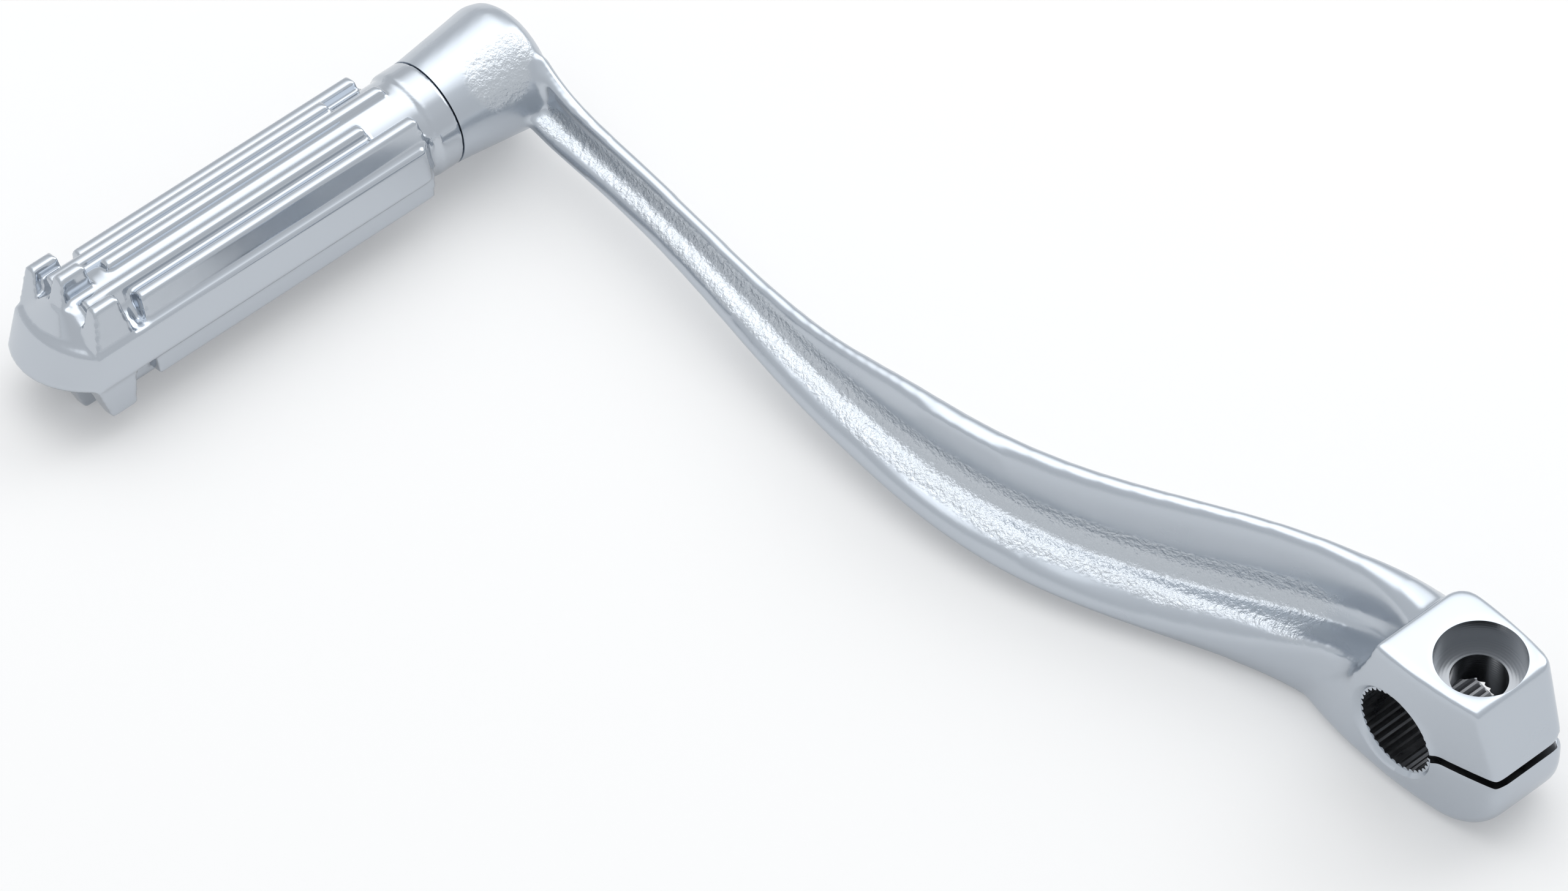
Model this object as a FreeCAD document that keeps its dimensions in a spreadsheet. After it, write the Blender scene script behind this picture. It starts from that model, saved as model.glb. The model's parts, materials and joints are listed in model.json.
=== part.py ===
import FreeCAD
import Part
import math
import os
import Sketcher
from types import SimpleNamespace

# Motorcycle shift lever with a ribbed toe peg, in millimetres.
# The origin lies on the axis of the splined bore, halfway through the clamp. The bore runs along Y,
# the nose of the clamp points to +X, the peg points to -Y and the lever lies on a surface below it.

SIZES = [
    ("floor_depth", 13.0, "bore axis down to the surface that the lever lies on"),
    ("clamp_out", 10.0, "bore origin to the outer side of the clamp, at its widest"),
    ("clamp_in", 9.2, "bore origin to the inner side of the clamp, at its widest"),
    ("clamp_top", 17.2, "bore axis up to the seat of the pinch bolt"),
    ("nose_top_reach", 15.3, "bore axis to the upper edge of the nose"),
    ("nose_reach", 20.1, "bore axis to the tip of the nose"),
    ("nose_out", 6.0, "outer side of the clamp at the tip of the nose"),
    ("nose_in", 7.6, "inner side of the clamp at the tip of the nose"),
    ("heel_out", 8.0, "outer side of the clamp at its heel"),
    ("heel_in", 3.2, "inner side of the clamp at its heel"),
    ("nose_round", 2.4, "rounding of the nose on its inner side"),
    ("shoulder_round", 3.6, "rounding behind the bolt seat, on the inner side"),
    ("clamp_edge", 0.9, "rounding around the bolt seat"),
    ("hub_diameter", 20.4, "hub around the bore on the inner side"),
    ("hub_in", 12.0, "bore origin to the end of that hub"),
    ("heel_reach", 22.0, "bore axis to the heel under the arm"),
    ("shoulder_reach", 5.0, "bore axis to the rear edge of the bolt seat"),
    ("bore_diameter", 14.4, "across the crests of the serrations"),
    ("serration_depth", 0.5, "height of one serration"),
    ("serration_width", 0.66, "mouth of one serration groove"),
    ("serrations", 36, "number of serrations"),
    ("bore_lead", 0.8, "lead-in chamfer outside the serrations"),
    ("slot_width", 1.7, "pinch slot"),
    ("slot_rise", 2.9, "height of the pinch slot at the tip of the nose"),
    ("bolt_reach", 7.6, "bore axis to the pinch bolt"),
    ("bolt_side", 0.6, "pinch bolt inwards of mid-width"),
    ("bolt_clearance", 9.2, "clearance hole of the pinch bolt"),
    ("bolt_thread", 6.8, "tapped hole under the slot"),
    ("bolt_thread_floor", 3.4, "metal left under the tapped hole"),
    ("bolt_seat", 14.8, "counterbore of the pinch bolt"),
    ("bolt_seat_depth", 5.0, "depth of that counterbore"),
    ("peg_back", 194.8, "bore axis back to the peg axis"),
    ("peg_drop", 0.4, "bore axis down to the peg axis"),
    ("seam_out", 40.5, "mid-width of the clamp out to the seam of boss and peg"),
    ("peg_roll", 14.3, "roll of the peg about its own axis, degrees"),
    ("collar_diameter", 19.0, "boss and peg collar at their seam"),
    ("boss_length", 19.4, "seam to the back of the boss"),
    ("eye_diameter", 22.6, "boss at its back, where the arm leaves it"),
    ("eye_round", 4.2, "rounding at the back of the boss"),
    ("seam_edge", 0.25, "broken edges at the seam"),
    ("root_reach", 8.0, "peg axis to the first section of the arm"),
    ("root_height", 8.2, "arm beside the boss, bottom to top"),
    ("root_out", 28.0, "arm beside the boss, mid-width of the clamp to its outer face"),
    ("root_flange", 3.0, "height of the lower flange beside the boss"),
    ("root_ledge", 3.6, "ledge on the flange beside the boss"),
    ("root_web", 2.6, "web beside the boss"),
    ("arm_bow", 4.0, "how far the arm bows outwards past its ends"),
    ("end_height", 29.4, "arm at the clamp, bottom to top"),
    ("end_flange", 19.1, "height of the lower flange at the clamp"),
    ("end_ledge", 9.2, "ledge on the flange at the clamp"),
    ("end_web", 9.4, "web at the clamp"),
    ("collar_length", 4.4, "smooth collar of the peg"),
    ("core_diameter", 17.8, "round core of the peg"),
    ("peg_length", 81.6, "seam to the tip of the belt, at its lower edge"),
    ("belt_lean", 3.6, "how far the end of the belt leans outwards, from its upper to its lower edge"),
    ("belt_width", 22.2, "belt of the peg, side to side"),
    ("belt_half", 3.5, "half the thickness of the belt"),
    ("belt_bevel", 0.5, "bevel along the belt"),
    ("belt_start", 5.0, "seam to the belt"),
    ("belt_corner", 76.1, "seam to the front outer corner of the belt, at its lower edge"),
    ("belt_skew", 3.0, "how much farther out the rear corner lies"),
    ("cap_top", 8.0, "peg axis to the top of the sloping cap inside the end of the belt"),
    ("cap_start", 66.0, "seam to the inner end of the cap"),
    ("rib_width", 2.2, "flat top of a rib"),
    ("rib_draft", 11.0, "slope of the rib walls, degrees"),
    ("rib_end_slope", 6.0, "slope of the rib ends, degrees"),
    ("block_end_slope", 17.0, "slope of the outer ends of the blocks, degrees"),
    ("rib_edge", 0.4, "bevel along the tops of the ribs"),
    ("middle_rib_top", 10.4, "peg axis to the top of the middle rib"),
    ("inner_rib_top", 9.6, "peg axis to the tops of the inner pair"),
    ("outer_rib_top", 8.1, "peg axis to the tops of the outer pair"),
    ("inner_rib_pitch", 9.6, "between the inner pair of ribs"),
    ("outer_rib_pitch", 16.4, "between the outer pair of ribs"),
    ("long_rib_start", 7.6, "seam to the middle and outer ribs"),
    ("inner_rib_start", 15.4, "seam to the inner pair of ribs"),
    ("long_rib_end", 64.2, "seam to the outer end of the middle and outer ribs"),
    ("inner_rib_end", 72.0, "seam to the outer end of the inner pair"),
    ("block_start", 68.2, "seam to the short end blocks"),
    ("block_end", 73.0, "seam to the outer end of those blocks"),
    ("block_rise", 2.4, "how far the blocks stand above their ribs"),
    ("lower_block_shift", 1.4, "how much farther out the lower blocks stand"),
    ("screw_diameter", 8.0, "shank of the peg screw"),
    ("screw_head", 13.0, "head of the peg screw"),
    ("head_height", 8.0, "height of that head"),
    ("socket_width", 6.0, "hexagon socket across flats"),
    ("socket_depth", 4.0, "depth of the hexagon socket"),
    ("screw_reach", 15.0, "screw past the seam into the peg"),
    ("screw_clearance", 0.3, "room around the screw"),
    ("washer_diameter", 13.4, "lock washer"),
    ("washer_thickness", 2.0, "lock washer"),
    ("washer_gap", 1.2, "split of the lock washer"),
    ("head_recess", 14.4, "recess in the boss for the screw head"),
    ("head_recess_depth", 10.4, "depth of that recess"),
]

# Sections of the arm from the boss to the clamp. Each value is the share reached there of: the way along
# the arm, the sinking of the bottom, the growth in height, the growth of the flange, the inward run, the
# outward bow, the growth of the ledge and the growth of the web.
ARM_STATIONS = [
    (0.000, -0.20, 0.13, 0.00, -0.03, 0.05, 0.00, 0.10),
    (0.040, 0.01, 0.03, 0.01, 0.00, 0.08, 0.00, 0.02),
    (0.153, 0.16, 0.00, 0.06, 0.00, 0.02, 0.00, 0.00),
    (0.318, 0.34, 0.08, 0.13, 0.00, 0.63, 0.20, 0.04),
    (0.483, 0.52, 0.38, 0.19, 0.00, 1.07, 0.46, 0.26),
    (0.648, 0.70, 0.59, 0.26, 0.00, 0.28, 0.80, 0.35),
    (0.786, 0.82, 0.75, 0.32, 0.49, 0.00, 1.00, 0.30),
    (0.912, 0.89, 0.86, 0.63, 1.02, 0.00, 0.90, 0.34),
    (1.000, 0.60, 0.82, 1.00, 0.99, 0.00, 0.86, 1.00),
]

# Rounded top of the web, from its outer to its inner side: shares of its thickness, across it and down.
WEB_CROWN = [
    (0.06, 0.33),
    (0.34, 0.08),
    (0.74, 0.08),
    (1.00, 0.36),
]


class Size:
    """A length that keeps its number together with the formula that gives it."""

    def __init__(self, value, formula):
        self.value = value
        self.formula = formula

    @staticmethod
    def of(other):
        return other if isinstance(other, Size) else Size(float(other), repr(float(other)))

    def __add__(self, other):
        other = Size.of(other)
        return Size(self.value + other.value, f"({self.formula} + {other.formula})")

    def __sub__(self, other):
        other = Size.of(other)
        return Size(self.value - other.value, f"({self.formula} - {other.formula})")

    def __mul__(self, other):
        other = Size.of(other)
        return Size(self.value * other.value, f"({self.formula} * {other.formula})")

    def __truediv__(self, other):
        other = Size.of(other)
        return Size(self.value / other.value, f"({self.formula} / {other.formula})")

    def __neg__(self):
        return Size(-self.value, f"(-{self.formula})")


ZERO = Size.of(0)


def slope_of(angle):
    """How far a wall at this angle leans for each millimetre of its height."""
    return Size(math.tan(math.radians(angle.value)), f"tan({angle.formula} * 1 deg)")


doc = FreeCAD.newDocument("shift_lever")
sheet = doc.addObject("Spreadsheet::Sheet", "Sizes")
for row, (alias, value, meaning) in enumerate(SIZES, start=1):
    sheet.set(f"A{row}", alias)
    sheet.set(f"B{row}", str(value))
    sheet.set(f"C{row}", meaning)
    sheet.setAlias(f"B{row}", alias)
doc.recompute()
dim = SimpleNamespace(**{alias: Size(value, f"Sizes.{alias}") for alias, value, meaning in SIZES})


def vector(point):
    return FreeCAD.Vector(point[0].value, point[1].value, 0)


def new_body(label):
    body = doc.addObject("PartDesign::Body", label)
    body.Label = label
    return body


def origin_plane(body, role):
    return next(item for item in body.Origin.OriginFeatures if item.Role == role)


def new_sketch(body, name, plane, right=ZERO, up=ZERO, out=ZERO):
    """A sketch on one of the body's origin planes, shifted within that plane and along its normal."""
    sketch = body.newObject("Sketcher::SketchObject", name)
    sketch.AttachmentSupport = [(origin_plane(body, plane), "")]
    sketch.MapMode = "FlatFace"
    for axis, shift in (("x", right), ("y", up), ("z", out)):
        sketch.setExpression(f"AttachmentOffset.Base.{axis}", shift.formula)
    return sketch


def pin(sketch, edge, end, point):
    """Holds one end of an edge at a place that is given by two sizes."""
    for kind, length in (("DistanceX", point[0]), ("DistanceY", point[1])):
        index = sketch.addConstraint(Sketcher.Constraint(kind, -1, 1, edge, end, length.value))
        sketch.setExpression(f"Constraints[{index}]", length.formula)


def draw_arc(sketch, start, end, rise):
    """An arc between two points that rises to the right of the way from start to end."""
    span_x = end[0] - start[0]
    span_y = end[1] - start[1]
    radius = ((span_x * span_x + span_y * span_y) / 4 + rise * rise) / (rise * 2)
    first, last = vector(start), vector(end)
    chord = last - first
    right = FreeCAD.Vector(chord.y, -chord.x, 0).normalize()
    crown = (first + last) * 0.5 + right * rise.value
    centre = crown - right * radius.value
    circle = Part.Circle(centre, FreeCAD.Vector(0, 0, 1), abs(radius.value))
    turns_left = rise.value > 0
    begin, finish = (first, last) if turns_left else (last, first)
    edge = sketch.addGeometry(Part.ArcOfCircle(circle, circle.parameter(begin), circle.parameter(finish)))
    index = sketch.addConstraint(Sketcher.Constraint("Radius", edge, abs(radius.value)))
    sketch.setExpression(f"Constraints[{index}]", radius.formula if turns_left else (-radius).formula)
    return (edge, 1, 2) if turns_left else (edge, 2, 1)


def draw_outline(sketch, points):
    """A closed outline through points (x, y, rise); a rise bends the edge that leaves its point."""
    edges = []
    for place, (x, y, rise) in enumerate(points):
        start = (x, y)
        end = points[(place + 1) % len(points)][:2]
        if rise is None:
            edge = sketch.addGeometry(Part.LineSegment(vector(start), vector(end)))
            edges.append((edge, 1, 2))
        else:
            edges.append(draw_arc(sketch, start, end, rise))
    for place, (edge, begin, finish) in enumerate(edges):
        following, next_begin, next_finish = edges[(place + 1) % len(edges)]
        sketch.addConstraint(Sketcher.Constraint("Coincident", edge, finish, following, next_begin))
    for (edge, begin, finish), (x, y, rise) in zip(edges, points):
        pin(sketch, edge, begin, (x, y))


def draw_circle(sketch, x, y, diameter):
    circle = Part.Circle(vector((x, y)), FreeCAD.Vector(0, 0, 1), diameter.value / 2)
    edge = sketch.addGeometry(circle)
    index = sketch.addConstraint(Sketcher.Constraint("Diameter", edge, diameter.value))
    sketch.setExpression(f"Constraints[{index}]", diameter.formula)
    pin(sketch, edge, 3, (x, y))


def pad(body, name, sketch, length, sides="One side", down=False):
    feature = body.newObject("PartDesign::Pad", name)
    feature.Profile = sketch
    feature.SideType = sides
    feature.Reversed = down
    feature.setExpression("Length", length.formula)
    return feature


def pocket(body, name, sketch, length=None, sides="One side", reverse=False):
    feature = body.newObject("PartDesign::Pocket", name)
    feature.Profile = sketch
    feature.SideType = sides
    feature.Reversed = reverse
    if length is None:
        feature.Type = "ThroughAll"
    else:
        feature.setExpression("Length", length.formula)
    return feature


def turn(body, name, kind, sketch, axis):
    feature = body.newObject(kind, name)
    feature.Profile = sketch
    feature.ReferenceAxis = (sketch, [axis])
    feature.Angle = 360.0
    return feature


def edges_where(feature, test):
    """Names of the edges whose two ends and middle all pass a test."""
    names = []
    for place, edge in enumerate(feature.Shape.Edges, start=1):
        middle = edge.valueAt((edge.FirstParameter + edge.LastParameter) / 2)
        if all(test(point) for point in [middle] + [vertex.Point for vertex in edge.Vertexes]):
            names.append(f"Edge{place}")
    return names


def reaches_along(feature, name):
    """Whether an edge runs along the clamp rather than up or across it."""
    box = feature.Shape.getElement(name).BoundBox
    return box.XLength > max(box.YLength, box.ZLength) * 0.8


def soften(body, name, kind, size_name, base, names, size):
    feature = body.newObject(kind, name)
    feature.Base = (base, names)
    feature.setExpression(size_name, size.formula)
    return feature


def make_clamp(body):
    """The block of the clamp: side view, tapered plan and rounded underside."""
    side = new_sketch(body, "clamp_side", "XZ_Plane")
    heel_top = -dim.floor_depth * 0.45
    draw_outline(side, [
        (-dim.shoulder_reach, dim.clamp_top, -dim.shoulder_reach * 0.5),
        (-dim.heel_reach * 0.9, heel_top, None),
        (-dim.heel_reach, -dim.floor_depth, None),
        (dim.nose_reach * 0.45, -dim.floor_depth, dim.floor_depth * 0.24),
        (dim.nose_reach, -dim.floor_depth * 0.16, None),
        (dim.nose_reach, dim.slot_rise, None),
        (dim.nose_top_reach, dim.clamp_top, None),
    ])
    pad(body, "clamp_block", side, dim.clamp_out * 2, "Symmetric")
    plan = new_sketch(body, "clamp_plan", "XY_Plane")
    rear = -dim.heel_reach * 1.1
    front = dim.nose_reach * 1.05
    for sign, heel, middle, tip in (
        (1, dim.heel_in, dim.clamp_in, dim.nose_in),
        (-1, dim.heel_out, dim.clamp_out, dim.nose_out),
    ):
        bulge = ((heel + tip) / 2 - middle) * sign
        outside = dim.clamp_out * 2 * sign
        draw_outline(plan, [
            (rear, heel * sign, bulge),
            (front, tip * sign, None),
            (front, outside, None),
            (rear, outside, None),
        ])
    taper = pocket(body, "clamp_taper", plan, sides="Symmetric")
    doc.recompute()
    nose = dim.nose_top_reach.value * 0.99
    ear_foot = -dim.floor_depth.value * 0.17
    inner_nose = edges_where(taper, lambda point: point.x > nose and point.y > 0 and point.z > ear_foot)
    rounded = soften(body, "nose_round", "PartDesign::Fillet", "Radius", taper, inner_nose, dim.nose_round)
    doc.recompute()
    shoulder = -dim.shoulder_reach.value * 0.99
    heel = heel_top.value - 1e-6
    back = edges_where(rounded, lambda point: point.x < shoulder and point.y > 0 and point.z > heel)
    bend = dim.shoulder_round
    shouldered = soften(body, "shoulder_round", "PartDesign::Fillet", "Radius", rounded, back, bend)
    doc.recompute()
    beside = min(dim.nose_out.value, dim.heel_in.value) * 0.8
    sole = edges_where(shouldered, lambda point: abs(point.y) > beside and point.z < ear_foot * 0.95)
    sole = [name for name in sole if reaches_along(shouldered, name)]
    bend = (dim.floor_depth - dim.bore_diameter / 2) * 0.4931
    soled = soften(body, "sole_round", "PartDesign::Fillet", "Radius", shouldered, sole, bend)
    doc.recompute()
    seat_level = dim.clamp_top.value - 1e-6
    rim = edges_where(soled, lambda point: point.z > seat_level)
    return soften(body, "clamp_edges", "PartDesign::Fillet", "Radius", soled, rim, dim.clamp_edge)


def arm_section(body, place, station):
    """One section of the arm: a web that stands on a wider lower flange, with a ledge between them."""
    along, sink, growth, rise, inward, bow, spread, thickening = station
    start = -dim.peg_back + dim.root_reach
    finish = -dim.shoulder_reach * 1.2
    across = start + (finish - start) * along
    root_bottom = -dim.peg_drop - dim.root_height * 0.55
    bottom = root_bottom + (-dim.floor_depth - root_bottom) * sink
    height = dim.root_height + (dim.end_height - dim.root_height) * growth
    flange = dim.root_flange + (dim.end_flange - dim.root_flange) * rise
    ledge = dim.root_ledge + (dim.end_ledge - dim.root_ledge) * spread
    web = dim.root_web + (dim.end_web - dim.root_web) * thickening
    end_out = dim.clamp_out * 0.96
    outer = -dim.root_out - dim.arm_bow * bow + (dim.root_out - end_out) * inward
    top = bottom + height
    shelf = bottom + flange
    wall = outer + ledge
    back = wall + web
    swell = ledge * (0.18 * (1.05 - rise))
    crown = [(wall + web * over, top - web * under, None) for over, under in WEB_CROWN]
    sketch = new_sketch(body, f"arm_section_{place}", "YZ_Plane", out=across)
    draw_outline(sketch, [
        (back, bottom, None),
        (outer + swell, bottom, -swell),
        (outer + swell * 0.9, shelf, None),
        (wall - ledge * 0.2, shelf - ledge * 0.06, None),
        (wall, shelf + ledge * 0.24, None),
    ] + crown)
    return sketch


def make_arm(body):
    sections = [arm_section(body, place, station) for place, station in enumerate(ARM_STATIONS, start=1)]
    loft = body.newObject("PartDesign::AdditiveLoft", "arm")
    loft.Profile = sections[0]
    loft.Sections = sections[1:]
    return loft


def make_boss(body):
    """The boss that the peg is screwed to, turned about the peg axis, widening towards its rounded back."""
    sketch = new_sketch(body, "boss_profile", "YZ_Plane", -dim.seam_out, -dim.peg_drop, -dim.peg_back)
    seam = dim.collar_diameter / 2
    eye = dim.eye_diameter / 2
    draw_outline(sketch, [
        (ZERO, ZERO, None),
        (dim.boss_length, ZERO, None),
        (dim.boss_length, eye - dim.eye_round, None),
        (dim.boss_length - dim.eye_round * 0.1, eye - dim.eye_round * 0.55, None),
        (dim.boss_length - dim.eye_round * 0.45, eye - dim.eye_round * 0.15, None),
        (dim.boss_length - dim.eye_round, eye, None),
        (dim.seam_edge, seam, None),
        (ZERO, seam - dim.seam_edge, None),
    ])
    turn(body, "boss", "PartDesign::Revolution", sketch, "H_Axis")
    recess = new_sketch(body, "screw_recess", "YZ_Plane", -dim.seam_out, -dim.peg_drop, -dim.peg_back)
    hole = dim.screw_diameter / 2 + dim.screw_clearance
    seat = dim.boss_length - dim.head_recess_depth
    past = dim.boss_length + dim.eye_round
    draw_outline(recess, [
        (-dim.eye_round, ZERO, None),
        (past, ZERO, None),
        (past, dim.head_recess / 2, None),
        (seat, dim.head_recess / 2, None),
        (seat, hole, None),
        (-dim.eye_round, hole, None),
    ])
    return turn(body, "screw_hole", "PartDesign::Groove", recess, "H_Axis")


def make_bore(body):
    """The serrated bore, its lead-in chamfers and the pinch slot."""
    bore = new_sketch(body, "bore_circle", "XZ_Plane")
    draw_circle(bore, ZERO, ZERO, dim.bore_diameter)
    plain = pocket(body, "bore", bore, sides="Symmetric")
    lead = new_sketch(body, "bore_lead_profile", "XY_Plane")
    mouth = dim.bore_diameter / 2
    rim = mouth + dim.serration_depth * 1.15
    past = dim.bore_lead
    for sign, face in ((1, dim.hub_in), (-1, -dim.clamp_out * 0.985)):
        draw_outline(lead, [
            (mouth * 0.9, face - dim.bore_lead * sign, None),
            (rim, face - dim.bore_lead * sign, None),
            (rim + dim.bore_lead + past, face + past * sign, None),
            (mouth * 0.9, face + past * sign, None),
        ])
    turn(body, "bore_mouths", "PartDesign::Groove", lead, "V_Axis")
    tooth = new_sketch(body, "serration_profile", "XZ_Plane")
    root = mouth + dim.serration_depth
    inside = mouth - dim.serration_depth * 0.3
    half = dim.serration_width / 2
    draw_outline(tooth, [
        (inside, -half, None),
        (mouth, -half, None),
        (root, ZERO, None),
        (mouth, half, None),
        (inside, half, None),
    ])
    groove = pocket(body, "serration", tooth, sides="Symmetric")
    pattern = body.newObject("PartDesign::PolarPattern", "serrations")
    pattern.Originals = [groove]
    pattern.Axis = (tooth, ["N_Axis"])
    pattern.Angle = 360.0
    pattern.setExpression("Occurrences", "Sizes.serrations")
    body.Tip = pattern
    slot = new_sketch(body, "slot_profile", "XZ_Plane")
    half_slot = dim.slot_width / 2
    past_nose = dim.nose_reach * 1.2
    rise = dim.slot_rise * 1.2
    draw_outline(slot, [
        (ZERO, -half_slot, None),
        (past_nose, rise - half_slot, None),
        (past_nose, rise + half_slot, None),
        (ZERO, half_slot, None),
    ])
    return pocket(body, "pinch_slot", slot, sides="Symmetric")


def make_bolt_hole(body):
    """The seat, clearance hole and tapped hole of the pinch bolt."""
    depth_to_slot = dim.clamp_top - dim.slot_width / 2
    for name, diameter, depth in (
        ("bolt_seat", dim.bolt_seat, dim.bolt_seat_depth),
        ("bolt_clearance", dim.bolt_clearance, depth_to_slot),
        ("bolt_thread", dim.bolt_thread, dim.clamp_top + dim.floor_depth - dim.bolt_thread_floor),
    ):
        sketch = new_sketch(body, f"{name}_circle", "XY_Plane", out=dim.clamp_top)
        draw_circle(sketch, dim.bolt_reach, dim.bolt_side, diameter)
        last = pocket(body, name, sketch, depth)
    return last


def make_shift_arm():
    body = new_body("shift_arm")
    make_clamp(body)
    hub = new_sketch(body, "hub_circle", "XZ_Plane")
    draw_circle(hub, ZERO, ZERO, dim.hub_diameter)
    pad(body, "hub", hub, dim.hub_in, down=True)
    make_arm(body)
    make_boss(body)
    make_bore(body)
    make_bolt_hole(body)
    return body


def add_rib(body, name, below, centre, top, start, end, end_slope):
    """One rib or block: a wedge that widens from its flat top into the core, above or below the belt."""
    foot = dim.belt_half * 0.8
    side_spread = (top - foot) * slope_of(dim.rib_draft)
    start_spread = (top - foot) * slope_of(dim.rib_end_slope)
    end_spread = (top - foot) * slope_of(end_slope)
    half = dim.rib_width / 2
    wedge = body.newObject("PartDesign::AdditiveWedge", name)
    wedge.AttachmentSupport = [(origin_plane(body, "XZ_Plane"), "")]
    wedge.MapMode = "FlatFace"
    wedge.AttachmentOffset = FreeCAD.Placement(FreeCAD.Vector(), FreeCAD.Rotation(180 if below else 0, 0, 0))
    for corner, place in (
        ("Ymin", foot),
        ("Ymax", top),
        ("Xmin", centre - half - side_spread),
        ("Xmax", centre + half + side_spread),
        ("X2min", centre - half),
        ("X2max", centre + half),
        ("Zmin", start - start_spread),
        ("Zmax", end + end_spread),
        ("Z2min", start),
        ("Z2max", end),
    ):
        wedge.setExpression(corner, place.formula)
    return wedge


def make_toe_peg():
    """The peg along -Y from the seam: a flat belt, a round core with a collar, and ribs above and below."""
    body = new_body("toe_peg")
    side = dim.belt_width / 2
    collar = dim.collar_diameter / 2
    outlines = []
    for name, level, inset in (
        ("bottom", -dim.belt_half, dim.belt_bevel),
        ("lower", dim.belt_bevel - dim.belt_half, ZERO),
        ("upper", dim.belt_half - dim.belt_bevel, ZERO),
        ("top", dim.belt_half, dim.belt_bevel),
    ):
        lean = dim.belt_lean * (level + dim.belt_half) / (dim.belt_half * 2)
        start = dim.belt_start + inset
        flank = side - inset
        shoulder = start + side - collar * 0.8
        front_corner = dim.belt_corner - lean * 0.3 - inset
        rear_corner = dim.belt_corner + dim.belt_skew - lean - inset
        tip = dim.peg_length - lean - inset
        outline = new_sketch(body, f"belt_{name}", "XY_Plane", out=level)
        draw_outline(outline, [
            (-collar * 0.8, -start, None),
            (-flank, -shoulder, None),
            (-flank, -rear_corner, tip - (front_corner + rear_corner) / 2),
            (flank, -front_corner, None),
            (flank, -shoulder, None),
            (collar * 0.8, -start, None),
        ])
        outlines.append(outline)
    belt = body.newObject("PartDesign::AdditiveLoft", "belt")
    belt.Profile = outlines[0]
    belt.Sections = outlines[1:]
    belt.Ruled = True
    foot = dim.belt_half - dim.belt_bevel
    crown = new_sketch(body, "cap_crown", "XY_Plane", out=dim.cap_top)
    crest = dim.cap_top * 0.45
    draw_outline(crown, [
        (-crest, -dim.cap_start, None),
        (-crest, -dim.block_end - crest * 0.2, crest * 0.3),
        (crest, -dim.block_end - crest * 0.2, None),
        (crest, -dim.cap_start, None),
    ])
    base = new_sketch(body, "cap_base", "XY_Plane", out=foot)
    front_corner = dim.belt_corner - dim.belt_lean * 0.3 - dim.belt_bevel
    rear_corner = dim.belt_corner + dim.belt_skew - dim.belt_lean - dim.belt_bevel
    tip = dim.peg_length - dim.belt_lean - dim.belt_bevel
    flank = side - dim.belt_bevel
    draw_outline(base, [
        (-flank, -dim.cap_start, None),
        (-flank, -rear_corner, tip - (front_corner + rear_corner) / 2),
        (flank, -front_corner, None),
        (flank, -dim.cap_start, None),
    ])
    cap = body.newObject("PartDesign::AdditiveLoft", "cap")
    cap.Profile = base
    cap.Sections = [crown]
    cap.Ruled = True
    core = new_sketch(body, "core_profile", "XY_Plane")
    radius = dim.core_diameter / 2
    tip = dim.peg_length - dim.belt_lean - dim.belt_bevel * 2
    draw_outline(core, [
        (ZERO, ZERO, None),
        (ZERO, -tip, None),
        (dim.belt_half * 0.8, -tip, None),
        (radius, -dim.block_end, None),
        (radius, -dim.collar_length - dim.belt_bevel, None),
        (collar, -dim.collar_length, None),
        (collar, -dim.seam_edge, None),
        (collar - dim.seam_edge, ZERO, None),
    ])
    turn(body, "core", "PartDesign::Revolution", core, "V_Axis")
    long_rib = (dim.long_rib_start, dim.long_rib_end, dim.rib_end_slope)
    inner_rib = (dim.inner_rib_start, dim.inner_rib_end, dim.rib_end_slope)
    for below, level in ((False, "upper"), (True, "lower")):
        shift = dim.lower_block_shift if below else ZERO
        block = (dim.block_start + shift, dim.block_end + shift, dim.block_end_slope)
        add_rib(body, f"{level}_middle_rib", below, ZERO, dim.middle_rib_top, *long_rib)
        add_rib(body, f"{level}_middle_block", below, ZERO, dim.middle_rib_top + dim.block_rise, *block)
        for sign in (1, -1):
            row = f"{level}_front" if sign > 0 else f"{level}_rear"
            inner = dim.inner_rib_pitch / 2 * sign
            outer = dim.outer_rib_pitch / 2 * sign
            add_rib(body, f"{row}_inner_rib", below, inner, dim.inner_rib_top, *inner_rib)
            add_rib(body, f"{row}_outer_rib", below, outer, dim.outer_rib_top, *long_rib)
            ribbed = add_rib(body, f"{row}_block", below, outer, dim.outer_rib_top + dim.block_rise, *block)
    doc.recompute()
    rib_tops = [dim.middle_rib_top, dim.inner_rib_top, dim.outer_rib_top]
    tops = [top.value for top in rib_tops + [top + dim.block_rise for top in rib_tops]]
    rims = edges_where(ribbed, lambda point: any(abs(abs(point.z) - top) < 1e-6 for top in tops))
    soften(body, "rib_edges", "PartDesign::Chamfer", "Size", ribbed, rims, dim.rib_edge)
    tapped = new_sketch(body, "tapped_circle", "XZ_Plane")
    draw_circle(tapped, ZERO, ZERO, dim.screw_diameter + dim.screw_clearance * 2)
    pocket(body, "tapped_hole", tapped, dim.screw_reach + dim.screw_diameter / 2, reverse=True)
    return body


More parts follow.
